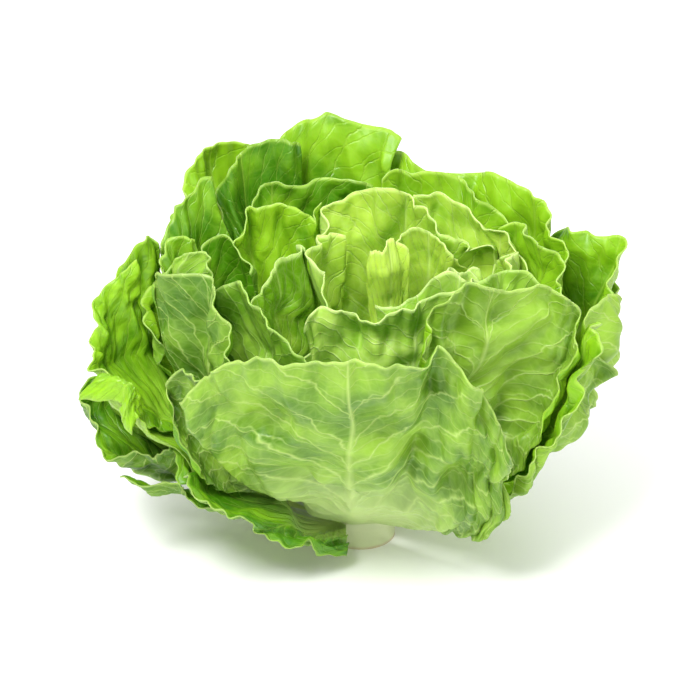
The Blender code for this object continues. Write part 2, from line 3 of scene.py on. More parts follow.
import bmesh
import bpy
import numpy as np
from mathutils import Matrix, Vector


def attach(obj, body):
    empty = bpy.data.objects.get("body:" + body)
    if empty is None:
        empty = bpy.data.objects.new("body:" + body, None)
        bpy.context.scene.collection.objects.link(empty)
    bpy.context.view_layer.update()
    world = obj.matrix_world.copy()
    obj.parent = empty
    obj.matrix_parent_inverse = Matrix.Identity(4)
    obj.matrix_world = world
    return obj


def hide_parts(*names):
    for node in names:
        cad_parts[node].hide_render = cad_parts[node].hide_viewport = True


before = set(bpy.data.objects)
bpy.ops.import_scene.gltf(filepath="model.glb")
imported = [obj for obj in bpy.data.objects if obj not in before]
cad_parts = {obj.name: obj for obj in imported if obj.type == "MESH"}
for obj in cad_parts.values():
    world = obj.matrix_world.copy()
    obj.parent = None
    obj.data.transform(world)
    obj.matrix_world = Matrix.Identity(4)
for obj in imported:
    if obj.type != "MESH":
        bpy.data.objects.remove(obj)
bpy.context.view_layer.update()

# The stem: a short, thick and pale greenish core, cut flat across with a knife. Its sides
# are ringed with the scars of leaves that were pulled off, and its cut face has browned.
MM = 0.001
STEM_RADIUS = 17.0 * MM
STEM_TOP_RADIUS = 9.0 * MM
STEM_HEIGHT = 62.0 * MM
STEM_TAPER = 1.5  # above 1, the stem narrows mostly near its top
STEM_GAP = 0.3 * MM
STEM_STEPS_ROUND = 120
STEM_STEPS_UP = 90
SCAR_DEPTH = 0.22 * MM
SCAR_SPACING = 5.2 * MM
SCAR_LEAN = 2.5 * MM
SCAR_WOBBLE = 1.5 * MM
SCAR_START = (1 * MM, 4 * MM)
SEAM_GAP = 0.01 * MM
CUT_EDGE_ANGLE = np.radians(50)
GREENING = (0.01, 0.05)  # heights over which the flesh turns greener
BROWNING = 0.002  # height at which the cut's brown has died away
PATCHES_PER_METRE = 160
GRAIN_PER_METRE = 900
FLESH_GLOW = 0.2
FLESH_GLOW_RADIUS = (1.0, 0.9, 0.5)
FLESH_GLOW_DEPTH = 0.003
GRAIN_HEIGHT = 0.0004
STEM_FLESH = (0.66, 0.73, 0.42)
STEM_CUT = (0.62, 0.50, 0.30)
STEM_GREEN = (0.46, 0.60, 0.20)


def stem_radius(height):
    """The stem's radius at a height above its cut face."""
    share = np.clip(height / STEM_HEIGHT, 0, 1)
    return STEM_RADIUS + (STEM_TOP_RADIUS - STEM_RADIUS) * share**STEM_TAPER


def ease(x, start, end):
    """0 before start, 1 after end, and smooth between them."""
    t = np.clip((x - start) / (end - start), 0.0, 1.0)
    return t * t * (3 - 2 * t)


def worked(tree, operation, *values, clamp=False):
    """A Math node fed with numbers or sockets, giving its result."""
    node = tree.nodes.new("ShaderNodeMath")
    node.operation = operation
    node.use_clamp = clamp
    for socket, value in zip(node.inputs, values):
        if isinstance(value, bpy.types.NodeSocket):
            tree.links.new(value, socket)
        else:
            socket.default_value = value
    return node.outputs[0]


def blended(tree, share, first, second):
    """A mix of two colours, each a socket or three numbers."""
    node = tree.nodes.new("ShaderNodeMix")
    node.data_type = "RGBA"
    node.clamp_factor = True
    for index, value in ((0, share), (6, first), (7, second)):
        if isinstance(value, bpy.types.NodeSocket):
            tree.links.new(value, node.inputs[index])
        elif index == 0:
            node.inputs[index].default_value = value
        else:
            node.inputs[index].default_value = (*value, 1)
    return node.outputs[2]


def noise(tree, where, scale, detail=2.0, roughness=0.5):
    """The value of a Noise texture on the given coordinates."""
    node = tree.nodes.new("ShaderNodeTexNoise")
    node.inputs["Scale"].default_value = scale
    node.inputs["Detail"].default_value = detail
    node.inputs["Roughness"].default_value = roughness
    tree.links.new(where, node.inputs["Vector"])
    return node.outputs["Fac"]


def spread(tree, value, low, high, bottom=0.0, top=1.0):
    """A value's range from low to high, eased into the range from bottom to top."""
    node = tree.nodes.new("ShaderNodeMapRange")
    node.interpolation_type = "SMOOTHSTEP"
    tree.links.new(value, node.inputs["Value"])
    ends = ("From Min", low), ("From Max", high), ("To Min", bottom), ("To Max", top)
    for name, end in ends:
        node.inputs[name].default_value = end
    return node.outputs["Result"]


def new_finish(name):
    """A material with its node tree and its shader."""
    finish = bpy.data.materials.new(name)
    finish.use_nodes = True
    return finish, finish.node_tree, finish.node_tree.nodes["Principled BSDF"]


def bumped(tree, shader, height, distance, strength):
    """The shader's normals follow a height."""
    bump = tree.nodes.new("ShaderNodeBump")
    bump.inputs["Strength"].default_value = strength
    bump.inputs["Distance"].default_value = distance
    tree.links.new(height, bump.inputs["Height"])
    tree.links.new(bump.outputs["Normal"], shader.inputs["Normal"])


def stem_finish():
    """Moist flesh, greener higher up, with a fine grain and a browned cut."""
    finish, tree, shader = new_finish("stem flesh")
    place = tree.nodes.new("ShaderNodeTexCoord").outputs["Object"]
    split = tree.nodes.new("ShaderNodeSeparateXYZ")
    tree.links.new(place, split.inputs["Vector"])
    height = split.outputs["Z"]
    patches = noise(tree, place, PATCHES_PER_METRE, 4)
    flesh = blended(tree, patches, STEM_FLESH, STEM_GREEN)
    flesh = blended(tree, spread(tree, height, *GREENING), STEM_FLESH, flesh)
    grain = noise(tree, place, GRAIN_PER_METRE, 3)
    uneven = spread(tree, patches, 0.3, 0.7, 0.5)
    browned = worked(tree, "MULTIPLY", spread(tree, height, BROWNING, 0.0), uneven)
    tree.links.new(blended(tree, browned, flesh, STEM_CUT), shader.inputs["Base Color"])
    tree.links.new(spread(tree, grain, 0.3, 0.7, 0.35, 0.55), shader.inputs["Roughness"])
    shader.inputs["Subsurface Weight"].default_value = FLESH_GLOW
    shader.inputs["Subsurface Radius"].default_value = FLESH_GLOW_RADIUS
    shader.inputs["Subsurface Scale"].default_value = FLESH_GLOW_DEPTH
    bumped(tree, shader, grain, GRAIN_HEIGHT, 0.4)
    return finish


def stem_mesh():
    """The stem rolled up from a grid, its seam joined and its two ends closed."""
    form = bmesh.new()
    bmesh.ops.create_grid(form, x_segments=STEM_STEPS_ROUND, y_segments=STEM_STEPS_UP, size=0.5)
    for corner in form.verts:
        turn = 2 * np.pi * (corner.co.x + 0.5)
        height = STEM_HEIGHT * (corner.co.y + 0.5)
        leaning = height + SCAR_LEAN * np.sin(turn) + SCAR_WOBBLE * np.sin(2 * turn + 1)
        scar = max(np.sin(2 * np.pi * leaning / SCAR_SPACING), 0) ** 3
        radius = stem_radius(height) - SCAR_DEPTH * scar * ease(height, *SCAR_START)
        corner.co = (radius * np.cos(turn), radius * np.sin(turn), height)
    bmesh.ops.remove_doubles(form, verts=form.verts, dist=SEAM_GAP)
    bmesh.ops.holes_fill(form, edges=[edge for edge in form.edges if edge.is_boundary])
    bmesh.ops.recalc_face_normals(form, faces=form.faces)
    mesh = bpy.data.meshes.new("cut_stem")
    form.to_mesh(mesh)
    form.free()
    mesh.shade_smooth()
    mesh.set_sharp_from_angle(angle=CUT_EDGE_ANGLE)
    return mesh


stem = bpy.data.objects.new("cut_stem", stem_mesh())
bpy.context.scene.collection.objects.link(stem)
stem.data.materials.append(stem_finish())
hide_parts("stem")
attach(stem, "root")

# The heart: four small curled leaves, the youngest, tender and pale yellow-green. Like all
# the others, each clasps the stem with a thick white root and is held by nothing else.
# Each fans out in rays from its root to its rim, and is moved off the leaves inside it.
HIGHEST_ROOT = 56.0 * MM
ROOT_HALF_WIDTH = 6.0 * MM
ROOT_STEP = 1.9 * MM
SMALL_STEP = 0.3 * MM
SAME_SIDE = np.radians(65)
BLADE_THICKNESS = 0.8 * MM
RIB_HEIGHT = 2.5 * MM
RIB_HALF_WIDTH = 5.0 * MM
RIB_START = (0.05, 0.2)
FAN_END = (0.1, 0.8)
FOLD_START = (0.1, 0.7)
WAVE_LENGTH = 34.0 * MM
WAVE_START = (0.3, 1.05)
SIDE_SHARE = 0.12  # the waves die away in this share of the rim at either end
WAVE_DRIFT = 1.3  # how far the waves are drawn together and apart, in radians
DRIFT_RATE = 4.1
RIPPLE_SHARE = 0.4  # a shorter wave that rides on the first
RIPPLE_RATE = 2.3
BOWL = ((0.5, 0.15), (1.0, 0.5))
SHALLOW = ((0.45, 0.25), (0.95, 0.52))
HEART_BOWL = ((0.9, 0.15), (1.15, 0.6))
UPRIGHT = ((0.65, 0.08), (1.02, 0.55))
STRAIGHT = ((0.38, 0.42), (0.88, 0.76))
ROLLED = ((0.5, 0.3), (1.05, 1.5))
RAYS = 81
RINGS = 37
RIM_STEPS = 600
LEAST_LEAN = 0.6  # the least sine of the angle between a rim's end and its ray
FAN_SMOOTHS = 200
NORMAL_SMOOTHS = 3
BLADE_SMOOTHS = 12
SMALLEST = 1e-12
HEART = np.array((16.0, -2.0, 100.0)) * MM
ROOM = 2.8 * MM
CELLS_ROUND = 360
CELLS_DOWN = 180
PUSH_SLOPE = 0.1
PUSH_SMOOTHS = 4
PUSH_FADE = 0.08
MOST_INSIDE = 3.0 * MM
STEM_ROOM = 1.5 * MM
FLOOR_GAP = 2.5 * MM
THICKEST = 1.1 * MM
THINNEST_SHARE = 0.55
THICK_ROOT = 0.3  # share of a ray in which the root thins out
THICK_RIB = 0.8
RIB_BAND = 2.5 * MM
STEP_OF_RIM = 1.6 * MM
STEP_OF_RAY = 1.7 * MM
SPARE_STEPS = 8
VEIN_COUNT = 8.5
VEIN_LEAN = 0.95
VEIN_CURVE = 0.8
VEIN_WANDER = 0.012
VEIN_WIDTH = 0.02
FINE_ROOM = 0.9 * MM
FINE_FADE = 0.2
RUFFLE_LENGTH = 21.0 * MM
RUFFLE_START = (0.66, 1.04)
RUFFLE_DRIFT = 1.6
RUFFLE_DRIFT_LENGTH = 40.0 * MM
RUFFLE_CHANGE_LENGTH = 30.0 * MM
NOTCH_LENGTH = 9.0 * MM
NOTCH_DEPTH = 0.8 * MM
NOTCH_START = (0.93, 1.0)
SWELL_LENGTH = 23.0 * MM
SWELL_HEIGHT = 1.1 * MM
SWELL_START = (0.1, 0.5)
PUCKER_HEIGHT = 1.0 * MM
PUCKER_START = (0.12, 0.4)
BUMP_LENGTH = 7.0 * MM
CREASE_HEIGHT = 2.6 * MM
CRUMPLE_HEIGHT = 9.0 * MM
CRUMPLE_REACH = 50.0 * MM  # where they have grown to half of their height
CRUMPLES = 4.5  # swells and hollows for each radian, as seen from the heart
CRUMPLE_SEED = 8
TO_STEM = np.array((-0.158, 0.02, -0.987))
STEM_VIEW = (0.72, 0.9)  # cosines of the angle to the stem where they die away
LEFT = np.array((-0.93, -0.1, -0.35))
LEFT_VIEW = (0.2, 0.95)
LEFT_PULL = 0.085  # share by which the leaves on the left stand nearer the heart
WRINKLE_LENGTH = 19.0 * MM
WRINKLE_DEPTH = 1.5 * MM
WRINKLE_START = (0.12, 0.45)
FOLD_SHARPNESS = 0.45
SHARP_FOLD_SHARE = 0.6
SHARP_FOLD_START = (0.15, 0.5)
RIM_CURL = 4.0 * MM
RIM_CURL_WIDTH = 13.0 * MM
RIM_CURL_LENGTH = 50.0 * MM
RIM_CURL_OUT = 0.3  # above 0, more of the rim curls out than in


def bearing_of(leaf):
    """The way the leaf points, seen from above."""
    x, y, _ = np.mean(leaf.rim, axis=0)
    return np.arctan2(y, x)


def rim_of(leaf):
    """A smooth curve through the leaf's stations."""
    stations = np.array(leaf.rim, dtype=float) * MM
    gaps = np.linalg.norm(np.diff(stations, axis=0), axis=1)
    places = np.concatenate(([0], np.cumsum(gaps)))
    slopes = np.gradient(stations, places, axis=0)
    at = np.linspace(0, places[-1], RIM_STEPS)
    low = np.clip(np.searchsorted(places, at, side="right") - 1, 0, len(gaps) - 1)
    gap = gaps[low][:, None]
    t = (at[:, None] - places[low][:, None]) / gap
    curve = stations[low] * (2 * t**3 - 3 * t**2 + 1) + slopes[low] * gap * (t**3 - 2 * t**2 + t)
    curve += stations[low + 1] * (3 * t**2 - 2 * t**3) + slopes[low + 1] * gap * (t**3 - t**2)
    return curve


def clear_part(rim, filled):
    """The rim without the ends that would lie well inside leaves nearer the heart."""
    around, down, _, distance = cells_of(rim)
    clear = np.flatnonzero(filled[around, down] - distance < MOST_INSIDE)
    return rim[clear[0]:clear[-1] + 1]


def turns(line, sideways, rising):
    """How far each line from the root leans to the side, as an angle in the leaf's plane."""
    return np.unwrap(np.arctan2(line @ sideways, line @ rising))


def spaced(line):
    """The rim's lines at even steps, and its length, without ends that run along its rays."""
    steps = np.diff(line, axis=0)
    middles = (line[1:] + line[:-1]) / 2
    size = np.linalg.norm(steps, axis=1) * np.linalg.norm(middles, axis=1)
    lean = np.linalg.norm(np.cross(steps, middles), axis=1) / size
    kept = np.flatnonzero(lean > LEAST_LEAN)
    line = line[kept[0]:kept[-1] + 2]
    length = np.concatenate(([0], np.cumsum(np.linalg.norm(np.diff(line, axis=0), axis=1))))
    even = np.linspace(0, length[-1], RAYS)
    return np.stack([np.interp(even, length, line[:, k]) for k in range(3)], axis=-1), length[-1]


def even_fan(line, sideways, rising):
    """The rim's lines from the root without its folds: spread evenly and softened."""
    facing = np.cross(sideways, rising)
    turn = turns(line, sideways, rising)
    spread = np.linspace(turn[0], turn[-1], RAYS)
    length = np.hypot(line @ sideways, line @ rising)
    bulge = line @ facing
    for _ in range(FAN_SMOOTHS):
        length[1:-1] = (length[2:] + length[1:-1] + length[:-2]) / 3
        bulge[1:-1] = (bulge[2:] + bulge[1:-1] + bulge[:-2]) / 3
    fan = np.outer(length * np.sin(spread), sideways) + np.outer(length * np.cos(spread), rising)
    return fan + np.outer(bulge, facing)


def softened(grid):
    """Each value of the grid averaged with those next to it, along both of its sides."""
    wider = [(1, 1), (1, 1)] + [(0, 0)] * (grid.ndim - 2)
    near = np.pad(grid, wider, mode="reflect", reflect_type="odd")
    sides = near[2:, 1:-1] + near[:-2, 1:-1] + near[1:-1, 2:] + near[1:-1, :-2]
    return (2 * grid + sides) / 6


def normals_of(points):
    """The direction in which each point's surface faces, on its outer side."""
    across = np.gradient(points, axis=0)
    along = np.gradient(points, axis=1)
    along[:, 0] = along[:, 1]
    facing = np.cross(across, along)
    for _ in range(NORMAL_SMOOTHS):
        facing = softened(facing)
    return facing / np.maximum(np.linalg.norm(facing, axis=-1, keepdims=True), SMALLEST)


def blade(leaf, rank, height, filled):
    """The leaf's inner face as a grid of points: rays of its fan by rings to its rim."""
    rim = clear_part(rim_of(leaf), filled)
    bearing = bearing_of(leaf)
    outwards = np.array((np.cos(bearing), np.sin(bearing), 0))
    sideways = np.array((-np.sin(bearing), np.cos(bearing), 0))
    root = outwards * (stem_radius(height) + STEM_GAP) + (0, 0, height)
    if (rim[-1] - rim[0]) @ sideways < 0:
        rim = rim[::-1]
    rising = np.mean(rim - root, axis=0)
    rising = rising - sideways * (rising @ sideways)
    rising = rising / np.linalg.norm(rising)
    line, length = spaced(rim - root)
    share = np.linspace(0, 1, RAYS)[:, None]
    along = np.linspace(0, 1, RINGS)[None, :]
    foot = root + sideways * ROOT_HALF_WIDTH * (2 * share - 1)

    even = even_fan(line, sideways, rising)
    folded = (line - even)[:, None, :] * ease(along, *FAN_END)[..., None]
    reach = (even + root - foot)[:, None, :] + folded
    (low_run, low_rise), (high_run, high_rise) = leaf.bowl
    low, high = 3 * along * (1 - along) ** 2, 3 * along**2 * (1 - along)
    run = low * low_run + high * high_run + along**3
    rise = low * low_rise + high * high_rise + along**3
    points = foot[:, None, :] + reach * np.stack((run, run, rise), axis=-1)

    turn = 2 * np.pi * share * length / WAVE_LENGTH + rank
    turn = turn + WAVE_DRIFT * np.sin(DRIFT_RATE * share + 3 * rank)
    wave = np.sin(turn) + RIPPLE_SHARE * np.sin(RIPPLE_RATE * turn + rank)
    side = ease(np.minimum(share, 1 - share), 0, SIDE_SHARE)
    lift = leaf.wave * MM * wave * ease(along, *WAVE_START) * side
    aside = (share - leaf.rib) * length * along
    rib = np.exp(-((aside / RIB_HALF_WIDTH) ** 2)) * (1 - along) * ease(along, *RIB_START)
    lift = lift + RIB_HEIGHT * rib
    for place, width, fold in leaf.folds:
        ridge = np.exp(-(((share - place) / width) ** 2))
        lift = lift + fold * MM * ridge * ease(along, *FOLD_START)
    return points + normals_of(points) * lift[..., None]


def finer(points):
    """The grid of points with two more between each two, so that no cell is missed."""
    for axis in (0, 1):
        count = points.shape[axis]
        at = np.linspace(0, count - 1, 3 * (count - 1) + 1)
        low = np.minimum(at.astype(int), count - 2)
        part = (at - low).reshape((-1, 1, 1) if axis == 0 else (1, -1, 1))
        points = np.take(points, low, axis) * (1 - part) + np.take(points, low + 1, axis) * part
    return points


def cells_of(points):
    """The cell of each point, as seen from the heart, its direction and its distance."""
    line = points - HEART
    distance = np.linalg.norm(line, axis=-1)
    line = line / distance[..., None]
    around = (np.arctan2(line[..., 1], line[..., 0]) / (2 * np.pi) % 1 * CELLS_ROUND).astype(int)
    down = (np.arccos(np.clip(line[..., 2], -1, 1)) / np.pi * CELLS_DOWN).astype(int)
    return np.clip(around, 0, CELLS_ROUND - 1), np.clip(down, 0, CELLS_DOWN - 1), line, distance


def widened(filled):
    """Each cell takes the furthest distance among itself and its neighbours."""
    rows = np.max([np.roll(filled, shift, axis=0) for shift in (-1, 0, 1)], axis=0)
    near = np.pad(rows, ((0, 0), (1, 1)), mode="edge")
    return np.max((near[:, :-2], near[:, 1:-1], near[:, 2:]), axis=0)


def pushes(points, dense, filled, room):
    """How far each point moves outwards for the dense points to clear the filled cells."""
    around, down, _, distance = cells_of(dense)
    short = np.zeros_like(filled)
    np.maximum.at(short, (around, down), widened(filled)[around, down] + room - distance)
    _, _, line, _ = cells_of(points)
    places = np.argwhere(short > 0)
    if len(places) == 0:
        return np.zeros(points.shape[:2])
    turn, fall = ((places + 0.5) * (2 * np.pi / CELLS_ROUND, np.pi / CELLS_DOWN)).T
    spots = np.stack((np.sin(fall) * np.cos(turn), np.sin(fall) * np.sin(turn), np.cos(fall)))
    apart = np.sqrt(np.maximum(2 - 2 * line @ spots, 0))
    push = np.max(short[short > 0] - PUSH_SLOPE * apart, axis=-1, initial=0)
    for _ in range(PUSH_SMOOTHS):
        push = softened(push)
    return push


def moved(points, push, fade):
    """The blade moved outwards, along lines from the heart, by less towards its root."""
    _, _, line, _ = cells_of(points)
    push = push * ease(np.linspace(0, 1, points.shape[1]), 0, fade)
    return points + line * push[..., None]


def clear_of_stem(points):
    """The blade moved off the stem, where a ray would pass through it."""
    radius = np.hypot(points[..., 0], points[..., 1])
    room = STEM_GAP + STEM_ROOM * ease(np.linspace(0, 1, RINGS), 0, PUSH_FADE)
    need = np.where(points[..., 2] < STEM_HEIGHT + STEM_ROOM, stem_radius(points[..., 2]) + room, 0)
    points[..., :2] *= np.maximum(need / radius, 1)[..., None]
    points[..., 2] = np.maximum(points[..., 2], FLOOR_GAP)
    return points


def smooth(points):
    """The blade without sharp creases, its root kept."""
    for _ in range(BLADE_SMOOTHS):
        points[:, 1:] = softened(points)[:, 1:]
    return points


def mark(points, filled):
    """Notes this blade's outer face in the cells it fills."""
    around, down, _, distance = cells_of(finer(points))
    np.maximum.at(filled, (around, down), distance + BLADE_THICKNESS)


def resampled(grid, count, axis):
    """The grid with another number of points along one side, on smooth curves."""
    have = grid.shape[axis]
    at = np.linspace(0, have - 1, count)
    low = np.minimum(at.astype(int), have - 2)
    t = (at - low).reshape([-1 if side == axis else 1 for side in range(grid.ndim)])
    wider = [(1, 1) if side == axis else (0, 0) for side in range(grid.ndim)]
    padded = np.pad(grid, wider, mode="reflect", reflect_type="odd")
    a, b, c, d = (np.take(padded, low + step, axis) for step in range(4))
    curve = b + (c - a) * t / 2 + (a - 2.5 * b + 2 * c - d / 2) * t**2
    return curve + ((d - a) / 2 + 1.5 * (b - c)) * t**3


def value_noise(along_rim, along_ray, length, seed):
    """Smooth random swells of about one length, between -1 and 1."""
    rng = np.random.default_rng(seed)
    x, y = along_rim / length, along_ray / length
    x, y = x - x.min(), y - y.min()
    table = rng.uniform(-1, 1, (int(x.max()) + 3, int(y.max()) + 3))
    i, j = x.astype(int), y.astype(int)
    u, v = x - i, y - j
    u, v = u * u * (3 - 2 * u), v * v * (3 - 2 * v)
    low = table[i, j] * (1 - u) + table[i + 1, j] * u
    high = table[i, j + 1] * (1 - u) + table[i + 1, j + 1] * u
    return low * (1 - v) + high * v


def swells(line):
    """Smooth random heights for each direction, between -1 and 1."""
    steps = int(2 * CRUMPLES) + 2
    table = np.random.default_rng(CRUMPLE_SEED).uniform(-1, 1, (steps, steps, steps))
    place = (line + 1) * CRUMPLES
    cell = place.astype(int)
    near = ease(place - cell, 0, 1)
    height = 0
    for corner in np.ndindex(2, 2, 2):
        share = np.prod(np.where(corner, near, 1 - near), axis=-1)
        height = height + share * table[tuple(np.moveaxis(cell + corner, -1, 0))]
    return height


def creased(points):
    """The blade with finer creases too, which go by direction alone like its folds."""
    _, _, line, distance = cells_of(points)
    free = 1 - ease(line @ TO_STEM, *STEM_VIEW)
    crease = CREASE_HEIGHT * (0.5 - np.abs(swells(line[..., ::-1] * 0.999)) * 2.5)
    crease = crease + 0.5 * CREASE_HEIGHT * (0.5 - np.abs(swells(line[..., (1, 2, 0)])) * 2.5)
    height = free * crease * distance**2 / (distance**2 + CRUMPLE_REACH**2)
    return points + line * height[..., None]


def crumpled(points):
    """The blade with the folds that all the leaves share, so that none of them meet."""
    _, _, line, distance = cells_of(points)
    free = 1 - ease(line @ TO_STEM, *STEM_VIEW)
    fold = CRUMPLE_HEIGHT * swells(line) * distance**2 / (distance**2 + CRUMPLE_REACH**2)
    pull = LEFT_PULL * ease(line @ LEFT, *LEFT_VIEW)
    return points + line * (free * (fold - pull * distance))[..., None]


def vein_gap(side, along, wander):
    """How far a place is from the nearest vein, as a share of the gap between two."""
    count = VEIN_COUNT * (along - VEIN_LEAN * np.abs(side) ** VEIN_CURVE + wander)
    return np.abs(count - np.round(count))


def detailed(points, leaf, rank, length, reach):
    """The blade with its ruffled rim, its swells and the puckers between its veins."""
    rays, rings = points.shape[:2]
    share = np.linspace(0, 1, rays)[:, None]
    along = np.linspace(0, 1, rings)[None, :]
    aside = (share - leaf.rib) * length * along
    out = along * reach + 0 * share
    facing = normals_of(points)
    swell = value_noise(aside, out, SWELL_LENGTH, rank)
    swell = swell + value_noise(aside, out, SWELL_LENGTH / 2, rank + 99) / 2
    lift = SWELL_HEIGHT * swell * ease(along, *SWELL_START)
    wander = VEIN_WANDER * value_noise(aside, out, SWELL_LENGTH, rank + 7)
    pucker = 1 - np.cos(2 * np.pi * vein_gap(share - leaf.rib, along, wander))
    bumps = value_noise(aside, out, BUMP_LENGTH, rank + 31)
    lift = lift - PUCKER_HEIGHT * (pucker / 2 + 0.5 * bumps) * ease(along, *PUCKER_START)
    wrinkle = value_noise(aside, 0.45 * out, WRINKLE_LENGTH, rank + 41)
    finer_wrinkle = value_noise(aside, 0.6 * out, 0.45 * WRINKLE_LENGTH, rank + 43)
    wrinkle = 2.2 * np.abs(wrinkle) + 0.9 * np.abs(finer_wrinkle)
    lift = lift + WRINKLE_DEPTH * leaf.crease * (wrinkle - 0.7) * ease(along, *WRINKLE_START)
    for place, width, height in leaf.folds:
        fold = np.exp(-(((share - place) / (FOLD_SHARPNESS * width)) ** 2))
        lift = lift + SHARP_FOLD_SHARE * height * MM * fold * ease(along, *SHARP_FOLD_START)
    rim = np.clip(1 - (1 - along) * reach / RIM_CURL_WIDTH, 0, 1)
    curl = value_noise(share * length, 0 * share, RIM_CURL_LENGTH, rank + 17)
    lift = lift + RIM_CURL * (RIM_CURL_OUT + curl) * rim**2
    turn = 2 * np.pi * share * length / RUFFLE_LENGTH + rank
    drift = value_noise(share * length, 0 * share, RUFFLE_DRIFT_LENGTH, rank + 3)
    turn = turn + RUFFLE_DRIFT * drift
    change = value_noise(share * length, 0 * share, RUFFLE_CHANGE_LENGTH, rank + 5)
    ruffle = (np.sin(turn) + 0.5 * np.sin(2.3 * turn + 1)) * (0.65 + 0.5 * change)
    lift = lift + leaf.ruffle * MM * ruffle * ease(along, *RUFFLE_START)
    notch = value_noise(share * length, 0 * share, NOTCH_LENGTH, rank + 11)
    notch = NOTCH_DEPTH * notch * ease(along, *NOTCH_START)
    ray = np.gradient(points, axis=1)
    ray = ray / np.maximum(np.linalg.norm(ray, axis=-1, keepdims=True), SMALLEST)
    return points + facing * lift[..., None] + ray * notch[..., None]


def leaf_mesh(name, points, leaf, length, reach, tone):
    """A grid with its corners moved to the blade's points, and what its finish reads."""
    rays, rings = points.shape[:2]
    form = bmesh.new()
    form.loops.layers.uv.new("UVMap")
    bmesh.ops.create_grid(form, x_segments=rays - 1, y_segments=rings - 1, size=0.5, calc_uvs=True)
    on_vein = form.verts.layers.float_vector.new("place")
    on_blade = form.verts.layers.float_vector.new("flat")
    thick = form.verts.layers.deform.verify()
    for corner in form.verts:
        share, along = corner.co.x + 0.5, corner.co.y + 0.5
        side = share - leaf.rib
        corner[on_vein] = (side, along, tone)
        corner[on_blade] = (side * length * along, along * reach, (1 - along) * reach)
        rib = np.exp(-((side * length * along / RIB_BAND) ** 2)) * (1 - along)
        corner[thick][0] = max(1 - along / THICK_ROOT, THICK_RIB * rib, 0.0)
        corner.co = points[round(share * (rays - 1)), round(along * (rings - 1))]
    mesh = bpy.data.meshes.new(name)
    form.to_mesh(mesh)
    form.free()
    mesh.shade_smooth()
    return mesh


def grow(leaf, faces, tone=0.5, lively=1.0):
    """Makes one leaf, moves it clear of the ones inside it, and lets it replace its node.

    Its faces are the finishes of its underside and of its inner side. Its tone is how bright
    its green is, from 0 to 1, and the livelier it is, the deeper its ruffles and wrinkles.
    """
    rank = len(grown)
    leaf = leaf._replace(ruffle=leaf.ruffle * lively, crease=leaf.crease * lively)
    bearing = bearing_of(leaf)
    height = HIGHEST_ROOT
    for other, above in grown:
        apart = abs((bearing - other + np.pi) % (2 * np.pi) - np.pi)
        height = min(height, above - (ROOT_STEP if apart < SAME_SIDE else SMALL_STEP))
    grown.append((bearing, height))
    points = smooth(clear_of_stem(blade(leaf, rank, height, filled)))
    points = moved(points, pushes(points, finer(points), filled, ROOM), PUSH_FADE)
    points = clear_of_stem(smooth(points))
    mark(points, filled)
    length = np.linalg.norm(np.diff(points[:, -1], axis=0), axis=1).sum()
    reach = np.linalg.norm(np.diff(points[RAYS // 2], axis=0), axis=1).sum()
    rays = round(length / STEP_OF_RIM) + SPARE_STEPS
    rings = round(reach / STEP_OF_RAY) + SPARE_STEPS
    fine = resampled(resampled(points, rays, 0), rings, 1)
    fine = detailed(fine, leaf, rank, length, reach)
    push = pushes(points, fine, fine_filled, FINE_ROOM)
    push = resampled(resampled(push, rays, 0), rings, 1)
    fine = moved(fine, np.maximum(push, 0), FINE_FADE)
    mark(fine, fine_filled)
    fine = crumpled(creased(fine))
    name = leaf.name + "_blade"
    piece = bpy.data.objects.new(name, leaf_mesh(name, fine, leaf, length, reach, tone))
    bpy.context.scene.collection.objects.link(piece)
    piece.vertex_groups.new(name="thick")
    for finish in faces:
        piece.data.materials.append(finish)
    wall = piece.modifiers.new("wall", "SOLIDIFY")
    wall.thickness = THICKEST
    wall.vertex_group = "thick"
    wall.thickness_vertex_group = THINNEST_SHARE
    wall.offset = 1
    wall.material_offset = 1
    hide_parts(leaf.name)
    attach(piece, "root")


grown = []
filled = np.zeros((CELLS_ROUND, CELLS_DOWN))
fine_filled = np.zeros((CELLS_ROUND, CELLS_DOWN))


class Leaf(NamedTuple):
    """One leaf, with its rim's stations in millimetres from one side to the other."""

    name: str
    rim: tuple
    bowl: tuple = BOWL
    wave: float = 3.5  # height of the waves at the rim, in millimetres
    rib: float = 0.5  # where the midrib would meet the rim, as a share of its length
    folds: tuple = ()  # each one's place and width as shares of the rim, and its height
    ruffle: float = 1.9  # height of the small ruffles at the rim, in millimetres
    crease: float = 1.0  # depth of its wrinkles, against a usual leaf's


VEIN_WIDTH_AT_RIM = 0.006
BRANCHES_PER_VEIN = 2.3
BRANCH_WIDTH = 0.007
BRANCH_WIDTH_AT_RIM = 0.003
MIDRIB_WIDTH = 0.0042
MIDRIB_WIDTH_AT_RIM = 0.0008
NET_PER_METRE = 95
FINE_NET_PER_METRE = 260
PATCHES_OF_GREEN = 38
PALE_ROOT = (0.1, 0.62)  # shares of a ray over which the white of the root dies away
PAINTED_RIM_HIGHLIGHT = (0.0004, 0.0022)  # distances from the rim over which its painted highlight line dies away
